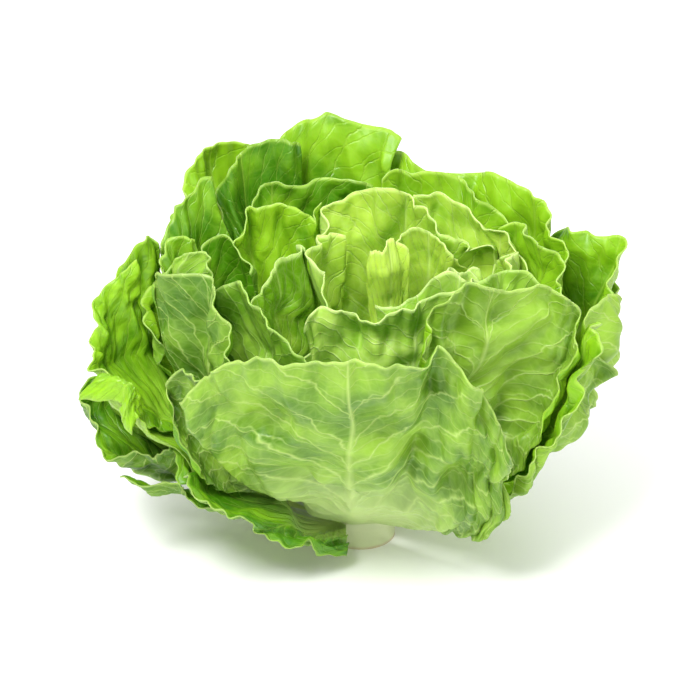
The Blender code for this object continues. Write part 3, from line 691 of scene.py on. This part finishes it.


def vein_group():
    """A node group: the veins, the fine net between them, the pale root, and a painted highlight
    along the rim.
    """
    tree = bpy.data.node_groups.new("leaf veins", "ShaderNodeTree")
    for name in ("Place", "Flat"):
        tree.interface.new_socket(name, in_out="INPUT", socket_type="NodeSocketVector")
    for name in ("Veins", "Net", "Root", "Rim highlight", "Patches", "Tone", "Cells"):
        tree.interface.new_socket(name, in_out="OUTPUT", socket_type="NodeSocketFloat")
    source = tree.nodes.new("NodeGroupInput")
    result = tree.nodes.new("NodeGroupOutput")
    place = tree.nodes.new("ShaderNodeSeparateXYZ")
    tree.links.new(source.outputs["Place"], place.inputs["Vector"])
    side = worked(tree, "ABSOLUTE", place.outputs["X"])
    along, tone = place.outputs["Y"], place.outputs["Z"]
    flat = source.outputs["Flat"]
    apart = tree.nodes.new("ShaderNodeSeparateXYZ")
    tree.links.new(flat, apart.inputs["Vector"])
    wander = worked(tree, "MULTIPLY", worked(tree, "SUBTRACT", noise(tree, flat, 55, 3), 0.5), 0.11)
    lean = worked(tree, "MULTIPLY", worked(tree, "POWER", side, VEIN_CURVE), VEIN_LEAN)
    where = worked(tree, "ADD", worked(tree, "SUBTRACT", along, lean), wander)

    def lines(across, count, width, rim_width):
        gap = worked(tree, "PINGPONG", worked(tree, "MULTIPLY", across, count), 0.5)
        wide = worked(tree, "MULTIPLY", spread(tree, along, 0.1, 1.0, width, rim_width), count)
        share = worked(tree, "DIVIDE", gap, wide, clamp=True)
        return worked(tree, "SUBTRACT", 1.0, share, clamp=True)

    main = lines(where, VEIN_COUNT, VEIN_WIDTH, VEIN_WIDTH_AT_RIM)
    steeper = worked(tree, "ADD", where, worked(tree, "MULTIPLY", lean, 0.5))
    branching = worked(tree, "SUBTRACT", steeper, worked(tree, "MULTIPLY", wander, 1.6))
    branches = lines(branching, BRANCHES_PER_VEIN * VEIN_COUNT, BRANCH_WIDTH, BRANCH_WIDTH_AT_RIM)
    branches = worked(tree, "MULTIPLY", branches, 0.5)
    rib_width = spread(tree, along, 0.0, 1.0, MIDRIB_WIDTH, MIDRIB_WIDTH_AT_RIM)
    aside = worked(tree, "ABSOLUTE", apart.outputs["X"])
    rib_gap = worked(tree, "DIVIDE", aside, rib_width, clamp=True)
    rib = worked(tree, "SUBTRACT", 1.0, rib_gap, clamp=True)
    cells = tree.nodes.new("ShaderNodeTexVoronoi")
    cells.feature = "DISTANCE_TO_EDGE"
    cells.inputs["Scale"].default_value = NET_PER_METRE
    cells.inputs["Randomness"].default_value = 0.9
    tree.links.new(flat, cells.inputs["Vector"])
    small = tree.nodes.new("ShaderNodeTexVoronoi")
    small.feature = "DISTANCE_TO_EDGE"
    small.inputs["Scale"].default_value = FINE_NET_PER_METRE
    tree.links.new(flat, small.inputs["Vector"])
    wide_net = spread(tree, cells.outputs["Distance"], 0.0, 0.09, 1.0, 0.0)
    fine_net = spread(tree, small.outputs["Distance"], 0.0, 0.12, 0.5, 0.0)
    net = worked(tree, "MAXIMUM", wide_net, fine_net)
    veins = worked(tree, "MAXIMUM", worked(tree, "POWER", main, 1.5), branches)
    tree.links.new(worked(tree, "MAXIMUM", veins, rib), result.inputs["Veins"])
    tree.links.new(net, result.inputs["Net"])
    tree.links.new(spread(tree, along, *PALE_ROOT, 1.0, 0.0), result.inputs["Root"])
    # A painted highlight: a thin pale band along the rim, where light would catch the edge.
    tree.links.new(spread(tree, apart.outputs["Z"], *PAINTED_RIM_HIGHLIGHT, 1.0, 0.0), result.inputs["Rim highlight"])
    tree.links.new(noise(tree, flat, PATCHES_OF_GREEN, 4, 0.55), result.inputs["Patches"])
    tree.links.new(tone, result.inputs["Tone"])
    tree.links.new(spread(tree, cells.outputs["Distance"], 0.0, 0.35), result.inputs["Cells"])
    return tree


LEAF_GLOW = 0.12
LEAF_GLOW_RADIUS = (0.55, 1.0, 0.12)
LEAF_GLOW_DEPTH = 0.0015
LEAF_SHINE = 0.35
RELIEF_HEIGHT = 0.0006
RELIEF_STRENGTH = 0.55
DULLER = 0.14


def leaf_finish(name, deep, bright, vein, root, vein_strength, net_strength, raised, gloss):
    """The finish of one side of a leaf, from its deep and bright greens and its vein colour."""
    finish, tree, shader = new_finish(name)
    marks = tree.nodes.new("ShaderNodeGroup")
    marks.node_tree = leaf_veins
    for socket, attribute in (("Place", "place"), ("Flat", "flat")):
        node = tree.nodes.new("ShaderNodeAttribute")
        node.attribute_name = attribute
        tree.links.new(node.outputs["Vector"], marks.inputs[socket])
    made = marks.outputs
    brighter = worked(tree, "MULTIPLY", worked(tree, "SUBTRACT", made["Tone"], 0.5), 0.5)
    patch = spread(tree, worked(tree, "ADD", made["Patches"], brighter), 0.28, 0.72)
    colour = blended(tree, patch, deep, bright)
    colour = blended(tree, worked(tree, "MULTIPLY", made["Net"], net_strength), colour, vein)
    colour = blended(tree, worked(tree, "MULTIPLY", made["Veins"], vein_strength), colour, vein)
    colour = blended(tree, worked(tree, "MULTIPLY", made["Root"], 0.85), colour, root)
    # Painted highlight: the rim is lightened towards the vein colour in a thin line.
    colour = blended(tree, worked(tree, "MULTIPLY", made["Rim highlight"], 0.45), colour, vein)
    tree.links.new(colour, shader.inputs["Base Color"])
    rough = spread(tree, made["Patches"], 0.25, 0.75, gloss, gloss + DULLER)
    tree.links.new(rough, shader.inputs["Roughness"])
    standing = worked(tree, "MULTIPLY", made["Veins"], raised)
    height = worked(tree, "ADD", standing, worked(tree, "MULTIPLY", made["Cells"], 0.5))
    bumped(tree, shader, height, RELIEF_HEIGHT, RELIEF_STRENGTH)
    shader.inputs["Subsurface Weight"].default_value = LEAF_GLOW
    shader.inputs["Subsurface Radius"].default_value = LEAF_GLOW_RADIUS
    shader.inputs["Subsurface Scale"].default_value = LEAF_GLOW_DEPTH
    shader.inputs["Specular IOR Level"].default_value = LEAF_SHINE
    return finish


leaf_veins = vein_group()
HEART_LIVELY = 1.5
heart_faces = (
    leaf_finish("heart leaf outside", (0.26, 0.50, 0.03), (0.52, 0.72, 0.14), (0.68, 0.80, 0.36),
                (0.76, 0.84, 0.46), 0.5, 0.16, 1.0, 0.4),
    leaf_finish("heart leaf inside", (0.16, 0.38, 0.006), (0.48, 0.70, 0.07), (0.62, 0.78, 0.26),
                (0.70, 0.80, 0.30), 0.4, 0.14, -1.0, 0.36),
)

for leaf, tone in zip((
    Leaf(
        "heart_leaf_1",
        (
            (-1, 7, 124), (1, 3, 144), (5, -1, 154), (11, -3, 158), (19, -1, 156),
            (24, 5, 145), (26, 11, 126),
        ),
        bowl=HEART_BOWL,
        wave=1.5,
    ),
    Leaf(
        "heart_leaf_2",
        (
            (22, -15, 122), (29, -19, 140), (38, -18, 150), (48, -13, 151), (56, -5, 146),
            (59, 5, 128),
        ),
        bowl=HEART_BOWL,
        wave=2.0,
    ),
    Leaf(
        "heart_leaf_3",
        (
            (48, 16, 144), (36, 19, 151), (26, 17, 153), (16, 15, 148), (8, 11, 126),
        ),
        bowl=HEART_BOWL,
        wave=2.5,
    ),
    Leaf(
        "heart_leaf_4",
        (
            (52, -17, 120), (60, -15, 140), (68, -9, 150), (72, 1, 151), (70, 11, 145),
            (64, 19, 124),
        ),
        bowl=HEART_BOWL,
        wave=3.0,
    ),
), (0.9, 0.6, 0.7, 0.6)):
    grow(leaf, heart_faces, tone, HEART_LIVELY)

# The inner leaves: six cupped leaves that stand round the heart, pale yellow-green with
# ruffled rims that curl over it.
for leaf, tone in zip((
    Leaf(
        "inner_leaf_1",
        (
            (-20, 23, 150), (-12, 33, 162), (2, 39, 168), (17, 37, 166), (29, 33, 160),
            (37, 25, 154), (43, 11, 126),
        ),
        bowl=UPRIGHT,
        wave=3.0,
    ),
    Leaf(
        "inner_leaf_2",
        (
            (4, -25, 116), (-10, -19, 134), (-20, -9, 150), (-19, 5, 157), (-10, 15, 154),
        ),
        bowl=UPRIGHT,
        wave=2.5,
    ),
    Leaf(
        "inner_leaf_3",
        (
            (20, 31, 130), (27, 39, 160), (37, 40, 162), (50, 37, 158), (62, 29, 157),
            (69, 17, 154), (72, 3, 142), (70, -9, 122),
        ),
        bowl=UPRIGHT,
        wave=3.0,
    ),
    Leaf(
        "inner_leaf_4",
        (
            (8, -25, 138), (14, -30, 139), (24, -33, 146), (38, -31, 153), (51, -25, 151),
            (60, -15, 136), (62, -9, 118),
        ),
        bowl=UPRIGHT,
        wave=3.0,
    ),
    Leaf(
        "inner_leaf_5",
        (
            (-61, -31, 136), (-56, -25, 150), (-44, -15, 155), (-34, -9, 155),
            (-22, -4, 150), (-18, 3, 136), (-16, 9, 116),
        ),
        bowl=UPRIGHT,
        wave=3.0,
    ),
    Leaf(
        "inner_leaf_6",
        (
            (-28, -33, 112), (-23, -38, 136), (-16, -40, 144), (-7, -41, 144),
            (2, -41, 137), (14, -42, 143), (26, -42, 147), (44, -38, 153), (60, -30, 154),
            (70, -19, 142), (72, -11, 118),
        ),
        bowl=UPRIGHT,
        wave=3.0,
    ),
), (0.7, 0.5, 0.6, 0.5, 0.2, 0.5)):
    grow(leaf, heart_faces, tone, HEART_LIVELY)

# The middle leaves: nine fresh green leaves round the inner ones, their inner sides bright
# and their outer sides a little paler, with light veins.
middle_faces = (
    leaf_finish("middle leaf outside", (0.12, 0.30, 0.01), (0.33, 0.56, 0.05), (0.50, 0.68, 0.20),
                (0.66, 0.78, 0.36), 0.5, 0.14, 1.0, 0.4),
    leaf_finish("middle leaf inside", (0.07, 0.24, 0.002), (0.28, 0.54, 0.012), (0.46, 0.66, 0.10),
                (0.58, 0.74, 0.22), 0.35, 0.1, -1.0, 0.34),
)
for leaf, tone in zip((
    Leaf(
        "middle_leaf_1",
        (
            (62, 33, 124), (68, 27, 152), (74, 16, 157), (84, 7, 153), (92, -3, 149),
            (95, -11, 143), (92, -21, 138),
        ),
        bowl=UPRIGHT,
        wave=3.5,
    ),
    Leaf(
        "middle_leaf_2",
        (
            (-70, 11, 120), (-66, 25, 152), (-58, 34, 163), (-48, 31, 161), (-38, 33, 164),
            (-29, 29, 161), (-22, 25, 153), (-15, 31, 160),
        ),
        bowl=UPRIGHT,
        wave=2.5,
    ),
    Leaf(
        "middle_leaf_5",
        (
            (-90, -15, 116), (-88, 1, 150), (-82, 9, 160), (-73, 12, 163), (-65, 5, 158),
            (-58, -7, 151),
        ),
        bowl=UPRIGHT,
        wave=2.5,
    ),
    Leaf(
        "middle_leaf_3",
        (
            (-79, -25, 142), (-73, -34, 154), (-58, -43, 160), (-49, -52, 152),
            (-44, -56, 145), (-35, -61, 140), (-26, -65, 130), (-14, -65, 108),
        ),
        bowl=UPRIGHT,
        wave=2.0,
    ),
    Leaf(
        "middle_leaf_4",
        (
            (2, 47, 124), (6, 55, 162), (14, 57, 171), (22, 55, 166), (32, 57, 169),
            (46, 53, 165), (58, 46, 161), (69, 35, 153), (78, 21, 124),
        ),
        bowl=UPRIGHT,
        wave=3.0,
    ),
    Leaf(
        "middle_leaf_6",
        (
            (24, -53, 110), (32, -53, 136), (42, -49, 150), (54, -44, 157), (67, -36, 160),
            (80, -33, 157), (90, -34, 151), (98, -35, 140),
        ),
        bowl=UPRIGHT,
        wave=3.0,
    ),
    Leaf(
        "middle_leaf_7",
        (
            (-62, 39, 120), (-52, 47, 154), (-38, 51, 167), (-28, 51, 164), (-16, 53, 168),
            (-4, 53, 169), (6, 56, 165),
        ),
        bowl=UPRIGHT,
        wave=3.0,
    ),
    Leaf(
        "middle_leaf_8",
        (
            (-101, -6, 130), (-97, -6, 150), (-90, -9, 161), (-82, -15, 163),
            (-76, -23, 161), (-72, -31, 150),
        ),
        bowl=UPRIGHT,
        wave=1.0,
    ),
    Leaf(
        "middle_leaf_9",
        (
            (-106, -15, 112), (-107, 1, 138), (-104, 13, 152), (-99, 19, 157),
            (-92, 21, 156), (-84, 24, 151),
        ),
        bowl=UPRIGHT,
        wave=2.5,
    ),
), (0.6, 0.75, 0.15, 0.45, 0.6, 0.7, 0.3, 0.4, 0.5)):
    grow(leaf, middle_faces, tone)

# The outer leaves: broad open leaves that cup the head, deep green and glossy inside, and
# a dull whitish green on their undersides, where their branching veins stand up.
outer_faces = (
    leaf_finish("outer leaf underside", (0.075, 0.20, 0.006), (0.28, 0.49, 0.036), (0.52, 0.69, 0.19),
                (0.56, 0.70, 0.28), 0.65, 0.12, 1.0, 0.36),
    leaf_finish("outer leaf inside", (0.055, 0.21, 0.002), (0.27, 0.54, 0.010), (0.42, 0.64, 0.08),
                (0.54, 0.72, 0.20), 0.35, 0.1, -1.0, 0.32),
)
for leaf, tone in zip((
    Leaf(
        "outer_leaf_1",
        (
            (96, -3, 112), (96, 15, 140), (93, 31, 152), (86, 41, 160), (80, 48, 165),
            (70, 55, 170), (63, 59, 171), (48, 63, 165), (38, 65, 166), (28, 67, 154),
            (20, 67, 120),
        ),
    ),
    Leaf(
        "outer_leaf_2",
        (
            (-104, 5, 108), (-103, 21, 136), (-98, 33, 151), (-93, 40, 158),
            (-84, 47, 163), (-73, 54, 167), (-66, 55, 156),
        ),
        bowl=UPRIGHT,
        wave=2.5,
    ),
    Leaf(
        "outer_leaf_3",
        (
            (28, -73, 104), (28, -70, 134), (31, -64, 155), (45, -58, 162), (57, -55, 161),
            (70, -50, 161), (89, -44, 154), (99, -41, 142), (99, -49, 122), (95, -55, 102),
            (87, -59, 84),
        ),
        wave=1.5,
        rib=0.42,
    ),
    Leaf(
        "outer_leaf_4",
        (
            (-12, 67, 116), (-20, 73, 152), (-27, 77, 172), (-36, 78, 179), (-45, 78, 178),
            (-56, 74, 172), (-68, 68, 162), (-76, 63, 144),
        ),
        wave=3.0,
    ),
    Leaf(
        "outer_leaf_5",
        (
            (-104, -32, 152), (-103, -30, 160), (-93, -37, 161), (-82, -42, 163),
            (-75, -53, 154), (-67, -69, 138), (-58, -79, 108),
        ),
        bowl=UPRIGHT,
        wave=1.5,
        rib=0.4,
    ),
    Leaf(
        "outer_leaf_6",
        (
            (22, 65, 154), (16, 70, 173), (14, 77, 179), (5, 82, 184), (-10, 86, 185),
            (-23, 88, 183), (-36, 89, 176), (-48, 91, 154), (-58, 89, 112),
        ),
    ),
    Leaf(
        "outer_leaf_7",
        (
            (111, -15, 96), (118, -1, 120), (120, 11, 135), (123, 23, 143), (117, 28, 146),
            (112, 31, 142), (104, 35, 146), (94, 45, 143), (84, 59, 112),
        ),
        bowl=UPRIGHT,
        wave=3.0,
    ),
    Leaf(
        "outer_leaf_8",
        (
            (78, 67, 104), (68, 75, 142), (54, 79, 157), (42, 79, 162), (32, 79, 166),
            (22, 83, 172), (10, 89, 169), (-2, 96, 152),
        ),
    ),
    Leaf(
        "outer_leaf_9",
        (
            (-16, 105, 104), (-32, 103, 146), (-50, 100, 165), (-66, 94, 170),
            (-80, 88, 169), (-88, 78, 163), (-93, 64, 155), (-99, 48, 132),
            (-100, 37, 100),
        ),
        wave=3.0,
    ),
    Leaf(
        "outer_leaf_10",
        (
            (-83, -65, 64), (-96, -61, 82), (-97, -59, 102), (-89, -63, 123),
            (-74, -79, 125), (-43, -93, 128), (-8, -97, 122),
        ),
        bowl=SHALLOW,
        wave=2.0,
    ),
    Leaf(
        "outer_leaf_11",
        (
            (-96, -47, 88), (-108, -31, 104), (-118, -17, 117), (-113, -11, 130),
            (-107, -9, 142), (-100, -3, 146),
        ),
        bowl=STRAIGHT,
        wave=2.5,
    ),
), (0.85, 0.4, 0.65, 0.15, 0.3, 0.55, 0.6, 0.8, 0.8, 0.4, 0.6)):
    grow(leaf, outer_faces, tone)

# The back of the head: five broad leaves like the outer ones, which close it behind and
# below and which nobody sees from the front.
for leaf in (
    Leaf(
        "back_leaf_1",
        (
            (32, 105, 74), (12, 109, 106), (-14, 111, 122), (-44, 107, 126),
            (-70, 97, 116), (-86, 81, 92),
        ),
        wave=5.0,
    ),
    Leaf(
        "back_leaf_2",
        (
            (-60, 97, 66), (-78, 85, 90), (-96, 63, 102), (-106, 39, 100), (-106, 19, 80),
        ),
        wave=5.0,
    ),
    Leaf(
        "back_leaf_3",
        (
            (102, 19, 82), (104, 39, 102), (94, 61, 114), (77, 79, 124), (52, 93, 126),
            (26, 101, 108), (12, 103, 78),
        ),
        bowl=SHALLOW,
        wave=5.0,
    ),
    Leaf(
        "back_leaf_4",
        (
            (90, 5, 66), (97, 23, 82), (94, 45, 96), (80, 69, 102), (56, 89, 90),
            (38, 95, 64),
        ),
        bowl=SHALLOW,
        wave=4.0,
    ),
    Leaf(
        "low_leaf_3",
        (
            (68, 73, 38), (50, 95, 66), (22, 109, 80), (-14, 111, 80), (-44, 99, 64),
            (-58, 81, 38),
        ),
        bowl=SHALLOW,
        wave=5.0,
    ),
):
    grow(leaf, outer_faces)

# The right and the front of the head: the far right leaf, the ruffled one seen on edge,
# and the great leaf across the front, whose pale underside shows all its veins.
FRONT_LIVELY = 1.25
for leaf, tone in zip((
    Leaf(
        "outer_leaf_12",
        (
            (102, -31, 114), (104, -23, 130), (110, -15, 135), (120, -1, 129),
            (128, 15, 120), (123, 31, 122), (114, 43, 125), (102, 57, 120), (88, 71, 96),
        ),
        bowl=SHALLOW,
        wave=2.0,
    ),
    Leaf(
        "right_leaf",
        (
            (30, -35, 28), (52, -53, 42), (68, -63, 56), (81, -63, 72), (91, -59, 88),
            (95, -53, 108), (98, -46, 128), (102, -39, 137), (106, -29, 122),
            (107, -17, 98), (102, -1, 70),
        ),
        bowl=SHALLOW,
        wave=2.5,
    ),
    Leaf(
        "front_leaf",
        (
            (-87, -79, 111), (-74, -89, 130), (-59, -96, 143), (-29, -104, 147),
            (-1, -107, 150), (25, -106, 144), (30, -104, 158), (47, -96, 137),
            (61, -88, 110), (66, -83, 86), (70, -73, 61), (64, -65, 44),
        ),
        bowl=SHALLOW,
        wave=1.0,
        rib=0.36,
        folds=((0.1, 0.05, -4), (0.54, 0.05, -4), (0.63, 0.06, 5), (0.82, 0.05, 3)),
    ),
), (0.7, 0.6, 0.5)):
    grow(leaf, outer_faces, tone, FRONT_LIVELY)

# The low leaves: the oldest ones, which droop or curl outwards round the foot on the left.
for leaf, tone in zip((
    Leaf(
        "low_leaf_2",
        (
            (-6, -39, 13), (-29, -57, 24), (-49, -64, 30), (-58, -71, 38), (-65, -73, 49),
            (-75, -71, 52), (-84, -66, 64), (-86, -55, 62), (-80, -43, 50),
        ),
        bowl=STRAIGHT,
        wave=2.5,
    ),
    Leaf(
        "curled_leaf",
        (
            (-90, -53, 88), (-98, -49, 100), (-110, -42, 99), (-118, -34, 97),
            (-120, -25, 101), (-117, -15, 106),
        ),
        bowl=ROLLED,
        wave=1.5,
    ),
    Leaf(
        "left_leaf",
        (
            (-94, 45, 96), (-102, 33, 132), (-108, 23, 153), (-117, 19, 161),
            (-127, 17, 150), (-137, 15, 129), (-141, 12, 116), (-139, 5, 99),
            (-136, -3, 88), (-126, -13, 87), (-117, -21, 87), (-107, -27, 82),
        ),
        bowl=SHALLOW,
        wave=2.5,
    ),
    Leaf(
        "ruffled_leaf",
        (
            (-88, -55, 56), (-101, -45, 70), (-110, -41, 62), (-120, -31, 54),
            (-128, -23, 58), (-128, -17, 66), (-132, -9, 72), (-128, 5, 84),
            (-114, 17, 74),
        ),
        bowl=STRAIGHT,
        wave=4.5,
    ),
    Leaf(
        "low_leaf_1",
        (
            (-66, -53, 36), (-82, -49, 41), (-98, -44, 46), (-110, -38, 47),
            (-112, -30, 49), (-104, -22, 48), (-92, -13, 43), (-78, -5, 36),
        ),
        bowl=STRAIGHT,
        wave=1.5,
    ),
), (0.2, 0.8, 0.55, 0.3, 0.3)):
    grow(leaf, outer_faces, tone)

# The table: a plain pale floor, wide enough to fill the picture.
FLOOR_COLOUR = (0.97, 0.97, 0.97)
FLOOR_HALF_SIDE = 3.0
floor_form = bmesh.new()
bmesh.ops.create_grid(floor_form, x_segments=1, y_segments=1, size=FLOOR_HALF_SIDE)
floor_mesh = bpy.data.meshes.new("floor")
floor_form.to_mesh(floor_mesh)
floor_form.free()
floor = bpy.data.objects.new("floor", floor_mesh)
bpy.context.scene.collection.objects.link(floor)
floor_finish, _, floor_shader = new_finish("pale floor")
floor_shader.inputs["Base Color"].default_value = (*FLOOR_COLOUR, 1)
floor_shader.inputs["Roughness"].default_value = 0.8
floor_mesh.materials.append(floor_finish)

# The light: a broad soft window at the front left, two weaker ones at the right and behind,
# a wide even light from straight above, and a bright room.
AIM = np.array((-0.007, -0.003, 0.104))


def window(name, place, side, power):
    """A square soft light that faces the head."""
    light = bpy.data.lights.new(name, "AREA")
    light.shape = "SQUARE"
    light.size = side
    light.energy = power
    lamp = bpy.data.objects.new(name, light)
    bpy.context.scene.collection.objects.link(lamp)
    lamp.location = place
    lamp.rotation_mode = "QUATERNION"
    lamp.rotation_quaternion = Vector(AIM - np.array(place)).to_track_quat("-Z", "Y")


window("window", (-0.35, -0.60, 1.0), 0.4, 13.0)
window("side window", (0.85, -0.55, 0.65), 0.5, 3.5)
window("back window", (0.20, 0.80, 0.85), 0.6, 3.0)
sky = bpy.data.objects.new("sky", bpy.data.lights.new("sky", "SUN"))
bpy.context.scene.collection.objects.link(sky)
sky.data.energy = 1.3
sky.data.angle = np.radians(80)
room = bpy.data.worlds.new("bright room")
room.use_nodes = True
room.node_tree.nodes["Background"].inputs["Color"].default_value = (1, 1, 1, 1)
room.node_tree.nodes["Background"].inputs["Strength"].default_value = 0.42
bpy.context.scene.world = room

# The camera: at the photograph's angle, looking down on the table by about 26 degrees.
CAMERA_HEIGHT_ANGLE = np.radians(26)
CAMERA_DISTANCE = 1.1
SENSOR_WIDTH = 36.0
FIELD_WIDTH = 0.330
camera = bpy.data.objects.new("camera", bpy.data.cameras.new("camera"))
bpy.context.scene.collection.objects.link(camera)
back = np.array((0, -np.cos(CAMERA_HEIGHT_ANGLE), np.sin(CAMERA_HEIGHT_ANGLE)))
camera.location = AIM + back * CAMERA_DISTANCE
camera.rotation_mode = "QUATERNION"
camera.rotation_quaternion = Vector(-back).to_track_quat("-Z", "Y")
camera.data.sensor_width = SENSOR_WIDTH
camera.data.lens = SENSOR_WIDTH / FIELD_WIDTH * CAMERA_DISTANCE
bpy.context.scene.camera = camera
bpy.context.scene.view_settings.view_transform = "Standard"
